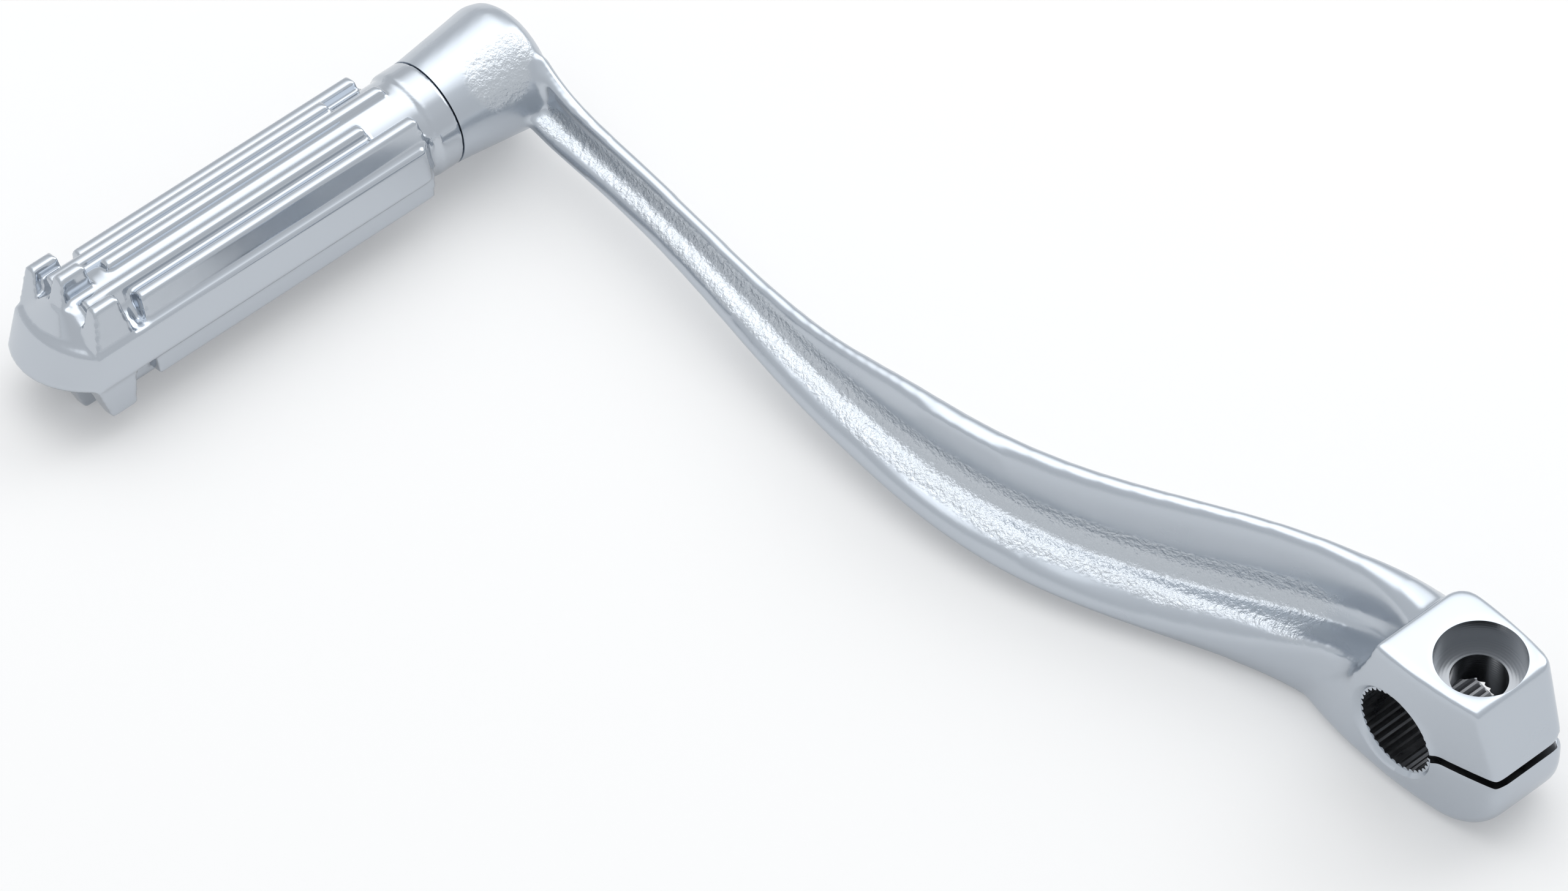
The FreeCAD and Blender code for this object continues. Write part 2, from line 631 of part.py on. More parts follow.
def make_peg_screw():
    """Socket-head screw along Y, with the seat of its head at the body's origin."""
    body = new_body("peg_screw")
    profile = new_sketch(body, "screw_profile", "XY_Plane")
    shank = dim.screw_diameter / 2
    head = dim.screw_head / 2
    edge = dim.head_height * 0.08
    reach = dim.boss_length - dim.head_recess_depth + dim.washer_thickness + dim.screw_reach
    draw_outline(profile, [
        (ZERO, -reach, None),
        (shank - edge, -reach, None),
        (shank, -reach + edge, None),
        (shank, ZERO, None),
        (head, ZERO, None),
        (head, dim.head_height - edge, None),
        (head - edge, dim.head_height, None),
        (ZERO, dim.head_height, None),
    ])
    turn(body, "screw", "PartDesign::Revolution", profile, "V_Axis")
    socket = new_sketch(body, "socket_hexagon", "XZ_Plane", out=-dim.head_height)
    flat = dim.socket_width / 2
    corner = flat * 1.1547
    draw_outline(socket, [
        (corner, ZERO, None),
        (corner / 2, flat, None),
        (-corner / 2, flat, None),
        (-corner, ZERO, None),
        (-corner / 2, -flat, None),
        (corner / 2, -flat, None),
    ])
    pocket(body, "socket", socket, dim.socket_depth, reverse=True)
    return body


def make_lock_washer():
    """Split spring washer along Y, with its lower face at the body's origin."""
    body = new_body("lock_washer")
    ring = new_sketch(body, "washer_ring", "XZ_Plane")
    draw_circle(ring, ZERO, ZERO, dim.washer_diameter)
    draw_circle(ring, ZERO, ZERO, dim.screw_diameter + dim.screw_clearance * 2)
    pad(body, "washer", ring, dim.washer_thickness, down=True)
    split = new_sketch(body, "washer_split", "XZ_Plane")
    half = dim.washer_gap / 2
    slant = dim.washer_gap * 0.4
    draw_outline(split, [
        (dim.screw_diameter / 4, -half - slant, None),
        (dim.washer_diameter, -half + slant, None),
        (dim.washer_diameter, half + slant, None),
        (dim.screw_diameter / 4, half - slant, None),
    ])
    pocket(body, "split", split, sides="Symmetric")
    return body


def place(body, out, rolled):
    """Puts a body on the peg axis, at a distance from the clamp's mid-width."""
    body.setExpression("Placement.Base.x", (-dim.peg_back).formula)
    body.setExpression("Placement.Base.y", (-out).formula)
    body.setExpression("Placement.Base.z", (-dim.peg_drop).formula)
    body.setExpression("Placement.Rotation.Axis.x", "0")
    body.setExpression("Placement.Rotation.Axis.y", "-1")
    body.setExpression("Placement.Rotation.Axis.z", "0")
    body.setExpression("Placement.Rotation.Angle", dim.peg_roll.formula if rolled else "0")


head_seat = dim.seam_out - dim.boss_length + dim.head_recess_depth
bodies = [make_shift_arm(), make_toe_peg(), make_peg_screw(), make_lock_washer()]
place(bodies[1], dim.seam_out, True)
place(bodies[2], head_seat - dim.washer_thickness, False)
place(bodies[3], head_seat, False)
doc.recompute()

for item in doc.Objects:
    if "Invalid" in item.State or "Error" in item.State:
        raise RuntimeError(f"{item.Name} failed: {item.State}")
for body in bodies:
    if body.Shape.isNull() or not body.Shape.isValid():
        raise RuntimeError(f"{body.Label} has no valid shape")

os.makedirs("parts", exist_ok=True)
for body in bodies:
    body.Shape.exportStep(f"parts/{body.Label}.step")
    box = body.Shape.BoundBox
    print(body.Label, len(body.Shape.Solids), "solid", round(body.Shape.Volume, 1), "mm3", box)
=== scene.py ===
import json
import math

import bmesh
import bpy
from mathutils import Matrix, Vector

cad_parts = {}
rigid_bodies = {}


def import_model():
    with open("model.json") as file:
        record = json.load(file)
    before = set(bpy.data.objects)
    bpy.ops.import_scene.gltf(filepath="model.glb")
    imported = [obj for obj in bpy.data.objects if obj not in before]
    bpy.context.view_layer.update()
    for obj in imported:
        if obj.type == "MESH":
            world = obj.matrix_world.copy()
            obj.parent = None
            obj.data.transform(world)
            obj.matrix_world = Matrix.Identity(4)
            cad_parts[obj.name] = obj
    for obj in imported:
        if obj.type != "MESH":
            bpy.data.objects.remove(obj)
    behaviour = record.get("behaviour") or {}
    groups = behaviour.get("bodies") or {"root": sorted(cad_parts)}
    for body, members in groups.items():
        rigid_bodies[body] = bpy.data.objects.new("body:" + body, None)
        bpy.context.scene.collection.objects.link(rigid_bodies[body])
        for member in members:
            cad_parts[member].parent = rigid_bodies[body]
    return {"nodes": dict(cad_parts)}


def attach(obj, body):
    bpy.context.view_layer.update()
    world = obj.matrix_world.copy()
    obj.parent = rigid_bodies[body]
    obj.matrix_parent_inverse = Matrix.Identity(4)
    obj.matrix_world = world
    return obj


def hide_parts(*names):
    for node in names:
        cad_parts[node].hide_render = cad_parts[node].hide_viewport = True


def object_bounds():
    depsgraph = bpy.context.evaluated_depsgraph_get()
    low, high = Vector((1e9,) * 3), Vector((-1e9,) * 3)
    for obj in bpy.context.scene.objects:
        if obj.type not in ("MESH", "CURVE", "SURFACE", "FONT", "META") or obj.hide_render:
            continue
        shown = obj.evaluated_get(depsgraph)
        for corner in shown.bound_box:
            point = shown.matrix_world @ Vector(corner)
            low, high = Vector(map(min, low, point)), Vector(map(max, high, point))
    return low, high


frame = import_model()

MM = 0.001
CAD_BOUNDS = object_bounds()
TABLE_HEIGHT = CAD_BOUNDS[0][2]
ALONG_Y = Vector((0, 1, 0))
ALONG_Z = Vector((0, 0, 1))

# Machined features of the clamp, in millimetres, in the lever's own frame. The bore lies along Y.
BORE_CENTRE = (0, 0, 0)
BORE_CREST = 7.2
BORE_ROOT = 7.7
BORE_RIM = 7.78
BORE_LEAD = 0.8
SERRATIONS = 36
CLAMP_OUTER_FACE = -9.85
HUB_FACE = 12.0
SLOT_WIDTH = 1.7
SLOT_TILT = math.radians(8.2)
SLOT_START = 3.0
SLOT_END = 26.0
SLOT_REACH = 14.0
BOLT_CENTRE = (7.6, 0.6, 0.0)
SEAT_RADIUS = 7.4
SEAT_FLOOR = 12.2
SEAT_TOP = 17.2
CLEARANCE_RADIUS = 4.6
CLEARANCE_FLOOR = 1.7
THREAD_RADIUS = 3.4
THREAD_FLOOR = -9.6

# How far the tools run past the metal and into each other's cuts.
BROACH_OVERRUN = 2.0
MILL_OVERRUN = 3.0
DRILL_OVERLAP = 1.0

# Plugs that close the machined holes while the casting is polished.
PLUG_FIT = 0.05
SEAT_PLUG_DROP = 0.3
THREAD_PLUG_FIT = 0.5
THREAD_PLUG_TOP = 1.0
SLOT_PLUG_FIT = 0.6
SLOT_PLUG_START = 6.0
SLOT_PLUG_END = 19.9
SLOT_PLUG_OUTER = -9.3
SLOT_PLUG_INNER = 8.4
SLOT_PLUG_TIP = 0.7

# The boss and the peg share one axis along Y. They meet at the seam, where the peg's collar starts.
PEG_AXIS = (-194.8, 0.0, -0.4)
PEG_ROLL = math.radians(14.3)
SEAM = -40.5
COLLAR_RADIUS = 9.5
COLLAR_STUB = 2.0
COLLAR_ROOT = 1.0

# Finish of the pieces: the size of the skin's faces, the strokes of the wheel, and the crease, which is the
# angle in degrees past which an edge stays sharp.
ARM_FACE_SIZE = 0.5
ARM_STROKES = 12
CROWN_STROKES = 140
ARM_CREASE = 44
PEG_FACE_SIZE = 0.36
PEG_STROKES = 4
PEG_CREASE = 60
FIXING_CREASE = 30
WELD_DISTANCE = 0.002
ROUND_SEGMENTS = 96

# Foot of the web along the arm: place along X, the foot's Y and Z, and the width of the ledge before it.
CHANNEL_LINE = [
    (-186.8, -25.2, -0.3, 3.6),
    (-179.6, -24.7, -1.8, 3.6),
    (-159.1, -24.5, -2.2, 3.6),
    (-129.3, -25.8, -2.6, 4.7),
    (-99.5, -26.1, -3.1, 6.2),
    (-69.6, -21.0, -3.4, 8.1),
    (-44.7, -9.8, -3.4, 9.2),
    (-21.9, -0.6, 1.0, 8.6),
    (-6.0, -1.4, 9.3, 8.4),
]

# What is done along the channel comes in and fades out over spans. START and END lie along X in millimetres,
# the others are shares of the ledge's width, outwards from the web's foot or up from the ledge.
SLOPE_START = (-186.0, -176.0)
SLOPE_END = (-34.0, -18.0)
SLOPE_OUTWARD = (0.35, 1.05)
SLOPE_UP = (-0.9, -0.1)
SLOPE_FALL = 0.30
LEDGE_REACH = 1.6
LEDGE_TOP = 0.6

CROWN_START = (-170.0, -140.0)
CROWN_END = (-24.0, -10.0)
CROWN_BASE = 0.35
CROWN_FADE = 4.0
FOOT_MARGIN = 0.5
LIP_START = (-60.0, -46.0)
LIP_INNER = (0.5, 0.8)
LIP_OUTER = (1.3, 1.7)
LIP_DEPTH = -0.8
LIP_WEAR = 0.4

GRAIN_START = (-186.0, -178.0)
GRAIN_END = (-30.0, -16.0)
GRAIN_OUTER = (-1.12, -0.82)
GRAIN_INNER = (0.15, 0.5)
GRAIN_UP = (-0.30, -0.12)
GRAIN_TOP = 0.40
GRAIN_FADE = 2.2

# Grainy patches on the boss: centre, reach, and the shares of the reach over which they fade.
BOSS_PATCHES = [((-188.0, -31.0, 7.6), 6.2), ((-189.3, -27.0, 9.2), 4.0)]
PATCH_FADE = (0.55, 1.2)


# Materials

def add_node(tree, kind, **values):
    """A node with its settings, and its unlinked inputs by name."""
    node = tree.nodes.new(kind)
    for name, value in values.items():
        if name in node.inputs:
            node.inputs[name].default_value = value
        else:
            setattr(node, name, value)
    return node


def add_span(tree, start, end, course="LINEAR"):
    """A node that takes a value from 0 at the start of a span to 1 at its end."""
    span = add_node(tree, "ShaderNodeMapRange", interpolation_type=course)
    span.inputs["From Min"].default_value = start
    span.inputs["From Max"].default_value = end
    return span


def new_material(name, colour, metallic, roughness):
    material = bpy.data.materials.new(name)
    material.use_nodes = True
    tree = material.node_tree
    shader = tree.nodes["Principled BSDF"]
    shader.inputs["Base Color"].default_value = (*colour, 1.0)
    shader.inputs["Metallic"].default_value = metallic
    shader.inputs["Roughness"].default_value = roughness
    return material, tree, shader


def make_plating_haze():
    """Shared by all plated pieces: faint cloudiness of the polish and the slow ripple under the plating."""
    group = bpy.data.node_groups.new("plating_haze", "ShaderNodeTree")
    for name, direction in (
        ("Cloud Scale", "INPUT"),
        ("Ripple Scale", "INPUT"),
        ("Sharpest", "INPUT"),
        ("Dullest", "INPUT"),
        ("Roughness", "OUTPUT"),
        ("Ripple", "OUTPUT"),
    ):
        group.interface.new_socket(name, in_out=direction, socket_type="NodeSocketFloat")
    inlet = group.nodes.new("NodeGroupInput")
    outlet = group.nodes.new("NodeGroupOutput")
    place = group.nodes.new("ShaderNodeTexCoord")
    cloud = add_node(group, "ShaderNodeTexNoise", Detail=3.0, Roughness=0.55)
    ripple = add_node(group, "ShaderNodeTexNoise", Detail=1.0)
    level = add_span(group, 0.3, 0.7)
    for source, target in (
        (place.outputs["Object"], cloud.inputs["Vector"]),
        (place.outputs["Object"], ripple.inputs["Vector"]),
        (inlet.outputs["Cloud Scale"], cloud.inputs["Scale"]),
        (inlet.outputs["Ripple Scale"], ripple.inputs["Scale"]),
        (cloud.outputs["Fac"], level.inputs["Value"]),
        (inlet.outputs["Sharpest"], level.inputs["To Min"]),
        (inlet.outputs["Dullest"], level.inputs["To Max"]),
        (level.outputs["Result"], outlet.inputs["Roughness"]),
        (ripple.outputs["Fac"], outlet.inputs["Ripple"]),
    ):
        group.links.new(source, target)
    return group


PLATING_HAZE = make_plating_haze()


def add_haze(tree, cloud_scale, ripple_scale, sharpest, dullest):
    haze = tree.nodes.new("ShaderNodeGroup")
    haze.node_tree = PLATING_HAZE
    haze.inputs["Cloud Scale"].default_value = cloud_scale
    haze.inputs["Ripple Scale"].default_value = ripple_scale
    haze.inputs["Sharpest"].default_value = sharpest
    haze.inputs["Dullest"].default_value = dullest
    return haze


def plated_metal(name, colour, cloud_scale, ripple_scale, sharpest, dullest, ripple_depth):
    """Polished metal with a faintly clouded, faintly rippled surface."""
    material, tree, shader = new_material(name, colour, metallic=1.0, roughness=dullest)
    haze = add_haze(tree, cloud_scale, ripple_scale, sharpest, dullest)
    bump = add_node(tree, "ShaderNodeBump", Strength=1.0, Distance=ripple_depth * MM)
    tree.links.new(haze.outputs["Roughness"], shader.inputs["Roughness"])
    tree.links.new(haze.outputs["Ripple"], bump.inputs["Height"])
    tree.links.new(bump.outputs["Normal"], shader.inputs["Normal"])
    return material


def add_skin_cover(tree, place, ragged_scale, ragged_swing):
    """Where the mould's skin is left: the piece's cast_skin attribute with a ragged edge."""
    link = tree.links.new
    skin = add_node(tree, "ShaderNodeAttribute", attribute_name="cast_skin")
    edge = add_node(tree, "ShaderNodeTexNoise", Scale=ragged_scale, Detail=4.0, Roughness=0.7)
    ragged = add_node(tree, "ShaderNodeMath", operation="MULTIPLY_ADD")
    ragged.inputs[1].default_value = ragged_swing
    ragged.inputs[2].default_value = -ragged_swing / 2
    shifted = add_node(tree, "ShaderNodeMath", operation="ADD")
    cover = add_span(tree, 0.15, 0.85, "SMOOTHSTEP")
    link(place.outputs["Object"], edge.inputs["Vector"])
    link(edge.outputs["Fac"], ragged.inputs[0])
    link(ragged.outputs[0], shifted.inputs[0])
    link(skin.outputs["Fac"], shifted.inputs[1])
    link(shifted.outputs[0], cover.inputs["Value"])
    return cover.outputs["Result"]


def cast_and_plated(
    name, colour, cast_colour, cloud_scale, ripple_scale, sharpest, dullest, ripple_depth,
    cast_roughness, grain_scale, grain_depth, ragged_scale, ragged_swing,
):
    """The arm: polished plating, and the grainy skin of the mould where the wheel doesn't reach."""
    material, tree, shader = new_material(name, colour, metallic=1.0, roughness=dullest)
    link = tree.links.new
    place = tree.nodes.new("ShaderNodeTexCoord")
    haze = add_haze(tree, cloud_scale, ripple_scale, sharpest, dullest)
    cover = add_skin_cover(tree, place, ragged_scale, ragged_swing)
    tint = add_node(tree, "ShaderNodeMix", data_type="RGBA")
    tint.inputs[6].default_value = (*colour, 1.0)
    tint.inputs[7].default_value = (*cast_colour, 1.0)
    link(cover, tint.inputs["Factor"])
    link(tint.outputs[2], shader.inputs["Base Color"])
    dull = add_node(tree, "ShaderNodeMix", data_type="FLOAT")
    dull.inputs[3].default_value = cast_roughness
    link(cover, dull.inputs["Factor"])
    link(haze.outputs["Roughness"], dull.inputs[2])
    link(dull.outputs[0], shader.inputs["Roughness"])
    grain = add_node(tree, "ShaderNodeTexNoise", Scale=grain_scale, Detail=3.0, Roughness=0.6)
    swing = add_node(tree, "ShaderNodeMath", operation="SUBTRACT")
    swing.inputs[1].default_value = 0.5
    lumps = add_node(tree, "ShaderNodeMath", operation="MULTIPLY")
    link(place.outputs["Object"], grain.inputs["Vector"])
    link(grain.outputs["Fac"], swing.inputs[0])
    link(swing.outputs[0], lumps.inputs[0])
    link(cover, lumps.inputs[1])
    ripple = add_node(tree, "ShaderNodeBump", Strength=1.0, Distance=ripple_depth * MM)
    rough = add_node(tree, "ShaderNodeBump", Strength=0.9, Distance=grain_depth * MM)
    link(haze.outputs["Ripple"], ripple.inputs["Height"])
    link(ripple.outputs["Normal"], rough.inputs["Normal"])
    link(lumps.outputs[0], rough.inputs["Height"])
    link(rough.outputs["Normal"], shader.inputs["Normal"])
    return material


def turned_metal(name, colour, centre, pitch, groove, roughness):
    """Machined metal with the fine rings that the tool leaves round one upright axis."""
    material, tree, shader = new_material(name, colour, metallic=1.0, roughness=roughness)
    link = tree.links.new
    place = tree.nodes.new("ShaderNodeTexCoord")
    centred = add_node(tree, "ShaderNodeMapping", Location=[-value * MM for value in centre])
    parts = tree.nodes.new("ShaderNodeSeparateXYZ")
    flat = tree.nodes.new("ShaderNodeCombineXYZ")
    radius = add_node(tree, "ShaderNodeVectorMath", operation="LENGTH")
    path = add_node(tree, "ShaderNodeMath", operation="ADD")
    phase = add_node(tree, "ShaderNodeMath", operation="MULTIPLY")
    phase.inputs[1].default_value = 2 * math.pi / (pitch * MM)
    wave = add_node(tree, "ShaderNodeMath", operation="SINE")
    bump = add_node(tree, "ShaderNodeBump", Strength=1.0, Distance=groove * MM)
    link(place.outputs["Object"], centred.inputs["Vector"])
    link(centred.outputs["Vector"], parts.inputs["Vector"])
    link(parts.outputs["X"], flat.inputs["X"])
    link(parts.outputs["Y"], flat.inputs["Y"])
    link(flat.outputs["Vector"], radius.inputs[0])
    link(radius.outputs["Value"], path.inputs[0])
    link(parts.outputs["Z"], path.inputs[1])
    link(path.outputs[0], phase.inputs[0])
    link(phase.outputs[0], wave.inputs[0])
    link(wave.outputs[0], bump.inputs["Height"])
    link(bump.outputs["Normal"], shader.inputs["Normal"])
    return material


ARM_CHROME = cast_and_plated(
    "arm_chrome", colour=(0.50, 0.54, 0.59), cast_colour=(0.55, 0.585, 0.625),
    cloud_scale=90.0, ripple_scale=60.0, sharpest=0.20, dullest=0.28, ripple_depth=0.02,
    cast_roughness=0.30, grain_scale=1150.0, grain_depth=0.34, ragged_scale=380.0, ragged_swing=0.8,
)
PEG_CHROME = plated_metal(
    "peg_chrome", colour=(0.50, 0.535, 0.58), cloud_scale=110.0, ripple_scale=90.0,
    sharpest=0.09, dullest=0.15, ripple_depth=0.006,
)
SCREW_ZINC = plated_metal(
    "screw_zinc", colour=(0.42, 0.43, 0.45), cloud_scale=300.0, ripple_scale=200.0,
    sharpest=0.28, dullest=0.40, ripple_depth=0.004,
)
# Steel of the serrated bore, the pinch slot and the tapped hole, darkened far below real steel: painted
# shade inside these deep cuts.
BORE_STEEL_PAINTED_SHADE = plated_metal(
    "bore_steel_painted_shade", colour=(0.17, 0.175, 0.185), cloud_scale=500.0, ripple_scale=320.0,
    sharpest=0.26, dullest=0.42, ripple_depth=0.02,
)
# Turned steel of the bolt's seat and clearance hole. The fine rings are the real machining, and the colour
# is darkened below real steel as painted shade in the counterbore.
SEAT_STEEL_PAINTED_SHADE = turned_metal(
    "seat_steel_painted_shade", colour=(0.31, 0.325, 0.345), centre=BOLT_CENTRE, pitch=0.55, groove=0.0018, roughness=0.24,
)


# Pieces

def merged_copy(node):
    """A copy of a solid's facets, joined into one closed skin."""
    skin = bmesh.new()
    skin.from_mesh(frame["nodes"][node].data)
    bmesh.ops.remove_doubles(skin, verts=skin.verts, dist=WELD_DISTANCE * MM)
    return skin


def add_bar(skin, centre, axis, radius, start, end, far_radius=None):
    """A closed round bar, or a cone, along an axis through a centre."""
    bar = bmesh.ops.create_cone(
        skin, cap_ends=True, segments=ROUND_SEGMENTS, radius1=radius * MM,
        radius2=(far_radius or radius) * MM, depth=(end - start) * MM,
    )["verts"]
    turn = ALONG_Z.rotation_difference(axis).to_matrix()
    bmesh.ops.rotate(skin, verts=bar, cent=(0, 0, 0), matrix=turn)
    middle = Vector(centre) + axis * ((start + end) / 2)
    bmesh.ops.translate(skin, verts=bar, vec=middle * MM)


def add_slab(skin, start, end, outer, inner, tip_share, thickness):
    """A flat slab through the nose of the clamp in the plane of the pinch slot, narrowing to its tip."""
    slab = bmesh.ops.create_cube(skin, size=1.0)["verts"]
    for corner in slab:
        share = tip_share if corner.co.x > 0 else 1.0
        across = (inner if corner.co.y > 0 else outer) * share
        along = end if corner.co.x > 0 else start
        corner.co = Vector((along, across, corner.co.z * thickness)) * MM
    bmesh.ops.rotate(skin, verts=slab, cent=(0, 0, 0), matrix=Matrix.Rotation(-SLOT_TILT, 3, "Y"))


def take_result(worked):
    """The finished mesh of an object with modifiers; the object itself goes."""
    graph = bpy.context.evaluated_depsgraph_get()
    mesh = bpy.data.meshes.new_from_object(worked.evaluated_get(graph))
    bpy.data.objects.remove(worked)
    return mesh


def even_skin(skin, label, face_size):
    """Gives a casting a skin of small even faces."""
    mesh = bpy.data.meshes.new(label)
    skin.to_mesh(mesh)
    skin.free()
    raw = bpy.data.objects.new(label, mesh)
    bpy.context.collection.objects.link(raw)
    even = raw.modifiers.new("even_skin", "REMESH")
    even.mode = "VOXEL"
    even.voxel_size = face_size * MM
    return take_result(raw)


def polish(mesh, strokes, weights=None):
    """Rounds the corners of a casting, everywhere or by a weight for each corner."""
    worn = bpy.data.objects.new(mesh.name, mesh)
    bpy.context.collection.objects.link(worn)
    wheel = worn.modifiers.new("polish", "SMOOTH")
    wheel.factor = 0.5
    wheel.iterations = strokes
    if weights:
        touched = worn.vertex_groups.new(name="touched")
        for place, weight in enumerate(weights):
            if weight > 0:
                touched.add([place], weight, "REPLACE")
        wheel.vertex_group = touched.name
    return take_result(worn)


def broach(skin):
    """The serrated shaft that the bore fits: every third corner of its outline is the tip of a tooth."""
    ring = bmesh.ops.create_circle(
        skin, cap_ends=True, segments=3 * SERRATIONS, radius=BORE_CREST * MM,
    )["verts"]
    for place, corner in enumerate(ring):
        if place % 3 == 1:
            corner.co *= BORE_ROOT / BORE_CREST
    turn = ALONG_Z.rotation_difference(ALONG_Y).to_matrix()
    bmesh.ops.rotate(skin, verts=ring, cent=(0, 0, 0), matrix=turn)
    bmesh.ops.translate(skin, verts=ring, vec=ALONG_Y * (CLAMP_OUTER_FACE - BROACH_OVERRUN) * MM)
    shaft = bmesh.ops.extrude_face_region(skin, geom=list(skin.faces))["geom"]
    far_end = [item for item in shaft if isinstance(item, bmesh.types.BMVert)]
    length = HUB_FACE - CLAMP_OUTER_FACE + 2 * BROACH_OVERRUN
    bmesh.ops.translate(skin, verts=far_end, vec=ALONG_Y * length * MM)


def outer_countersink(skin):
    past = BORE_RIM + 2 * BORE_LEAD
    start, end = CLAMP_OUTER_FACE - BORE_LEAD, CLAMP_OUTER_FACE + BORE_LEAD
    add_bar(skin, BORE_CENTRE, ALONG_Y, past, start, end, far_radius=BORE_RIM)


def inner_countersink(skin):
    past = BORE_RIM + 2 * BORE_LEAD
    start, end = HUB_FACE - BORE_LEAD, HUB_FACE + BORE_LEAD
    add_bar(skin, BORE_CENTRE, ALONG_Y, BORE_RIM, start, end, far_radius=past)


def slot_saw(skin):
    add_slab(skin, SLOT_START, SLOT_END, -SLOT_REACH, SLOT_REACH, tip_share=1.0, thickness=SLOT_WIDTH)


def seat_mill(skin):
    add_bar(skin, BOLT_CENTRE, ALONG_Z, SEAT_RADIUS, SEAT_FLOOR, SEAT_TOP + MILL_OVERRUN)


def clearance_drill(skin):
    add_bar(skin, BOLT_CENTRE, ALONG_Z, CLEARANCE_RADIUS, CLEARANCE_FLOOR, SEAT_FLOOR + DRILL_OVERLAP)


def thread_drill(skin):
    add_bar(skin, BOLT_CENTRE, ALONG_Z, THREAD_RADIUS, THREAD_FLOOR, CLEARANCE_FLOOR + DRILL_OVERLAP)


def make_tool(label, material, shape):
    """The body of one cutting tool, which leaves its material on the cut."""
    skin = bmesh.new()
    shape(skin)
    bmesh.ops.recalc_face_normals(skin, faces=skin.faces)
    mesh = bpy.data.meshes.new(label)
    skin.to_mesh(mesh)
    skin.free()
    mesh.materials.append(material)
    return bpy.data.objects.new(label, mesh)


def machine_clamp(casting):
    """Cuts the bore, the slot and the bolt's seat and hole into the polished casting. Each cut keeps its
    tool's material: the bore, slot and tapped hole take steel darkened as painted shade, and the seat and
    clearance hole take turned steel that is partly darkened as painted shade.
    """
    body = bpy.data.objects.new("casting", casting)
    bpy.context.collection.objects.link(body)
    tools = bpy.data.collections.new("tools")
    bpy.context.scene.collection.children.link(tools)
    for label, material, shape in (
        ("broach", BORE_STEEL_PAINTED_SHADE, broach),
        ("outer_countersink", ARM_CHROME, outer_countersink),
        ("inner_countersink", ARM_CHROME, inner_countersink),
        ("slot_saw", BORE_STEEL_PAINTED_SHADE, slot_saw),
        ("seat_mill", SEAT_STEEL_PAINTED_SHADE, seat_mill),
        ("clearance_drill", SEAT_STEEL_PAINTED_SHADE, clearance_drill),
        ("thread_drill", BORE_STEEL_PAINTED_SHADE, thread_drill),
    ):
        tools.objects.link(make_tool(label, material, shape))
    cut = body.modifiers.new("machining", "BOOLEAN")
    cut.operation = "DIFFERENCE"
    cut.operand_type = "COLLECTION"
    cut.collection = tools
    cut.solver = "EXACT"
    cut.material_mode = "TRANSFER"
    mesh = take_result(body)
    for tool in list(tools.objects):
        bpy.data.objects.remove(tool)
    bpy.data.collections.remove(tools)
    return mesh


def trim_seam(mesh):
    """Cuts the boss off flat at the seam and closes it."""
    skin = bmesh.new()
    skin.from_mesh(mesh)
    everything = list(skin.verts) + list(skin.edges) + list(skin.faces)
    cut = bmesh.ops.bisect_plane(
        skin, geom=everything, plane_co=ALONG_Y * SEAM * MM, plane_no=-ALONG_Y, clear_outer=True,
    )["geom_cut"]
    rim = [item for item in cut if isinstance(item, bmesh.types.BMEdge)]
    bmesh.ops.contextual_create(skin, geom=rim)
    skin.to_mesh(mesh)
    skin.free()


def rising(value, span):
    """0 before a span, 1 after it and a smooth step between."""
    start, end = span
    share = min(max((value - start) / (end - start), 0.0), 1.0)
    return share * share * (3 - 2 * share)


def falling(value, span):
    return 1 - rising(value, span)


def channel_at(along):
    """The web's foot and the ledge's width at a place along the arm."""
    for first, second in zip(CHANNEL_LINE, CHANNEL_LINE[1:]):
        if along <= second[0]:
            break
    share = (along - first[0]) / (second[0] - first[0])
    return [start + (end - start) * share for start, end in zip(first[1:], second[1:])]


def slope_ledge(mesh):
    """Rounds the ledge off outwards, from its groove down to the lower band."""
    for corner in mesh.vertices:
        x, y, z = corner.co / MM
        if not SLOPE_START[0] < x < SLOPE_END[1]:
            continue
        foot, shelf, ledge = channel_at(x)
        outward = (foot - y) / ledge
        up = (z - shelf) / ledge
        if not 0 < outward < LEDGE_REACH or up > LEDGE_TOP:
            continue
        fall = SLOPE_FALL * ledge * rising(outward, SLOPE_OUTWARD) * rising(up, SLOPE_UP)
        fall *= rising(x, SLOPE_START) * falling(x, SLOPE_END)
        corner.co.z -= fall * MM


def wheel_weight(spot):
    """How much the wheel takes off the top of the web and, near the clamp, off the lip of the ledge."""
    x, y, z = spot
    if not CROWN_START[0] < x < CROWN_END[1]:
        return 0.0
    foot, shelf, ledge = channel_at(x)
    if y < foot - FOOT_MARGIN:
        outward = (foot - y) / ledge
        if z - shelf <= LIP_DEPTH * ledge:
            return 0.0
        lip = rising(outward, LIP_INNER) * falling(outward, LIP_OUTER)
        return LIP_WEAR * lip * rising(x, LIP_START)
    base = CROWN_BASE * ledge
    ends = rising(x, CROWN_START) * falling(x, CROWN_END)
    return ends * rising(z - shelf, (base, base + CROWN_FADE))


def cast_skin_at(spot):
    """How much of the mould's grain is left: 1 in the channel and on the boss, 0 where the wheel was."""
    x, y, z = spot
    cover = 0.0
    for centre, reach in BOSS_PATCHES:
        cover = max(cover, falling((spot - Vector(centre)).length / reach, PATCH_FADE))
    if GRAIN_START[0] < x < GRAIN_END[1]:
        foot, shelf, ledge = channel_at(x)
        inward = (y - foot) / ledge
        height = z - shelf
        top = GRAIN_TOP * ledge
        on_ledge = rising(inward, GRAIN_OUTER) * falling(inward, GRAIN_INNER)
        on_ledge *= rising(height / ledge, GRAIN_UP) * falling(height, (top, top + GRAIN_FADE))
        on_ledge *= rising(x, GRAIN_START) * falling(x, GRAIN_END)
        cover = max(cover, on_ledge)
    return cover


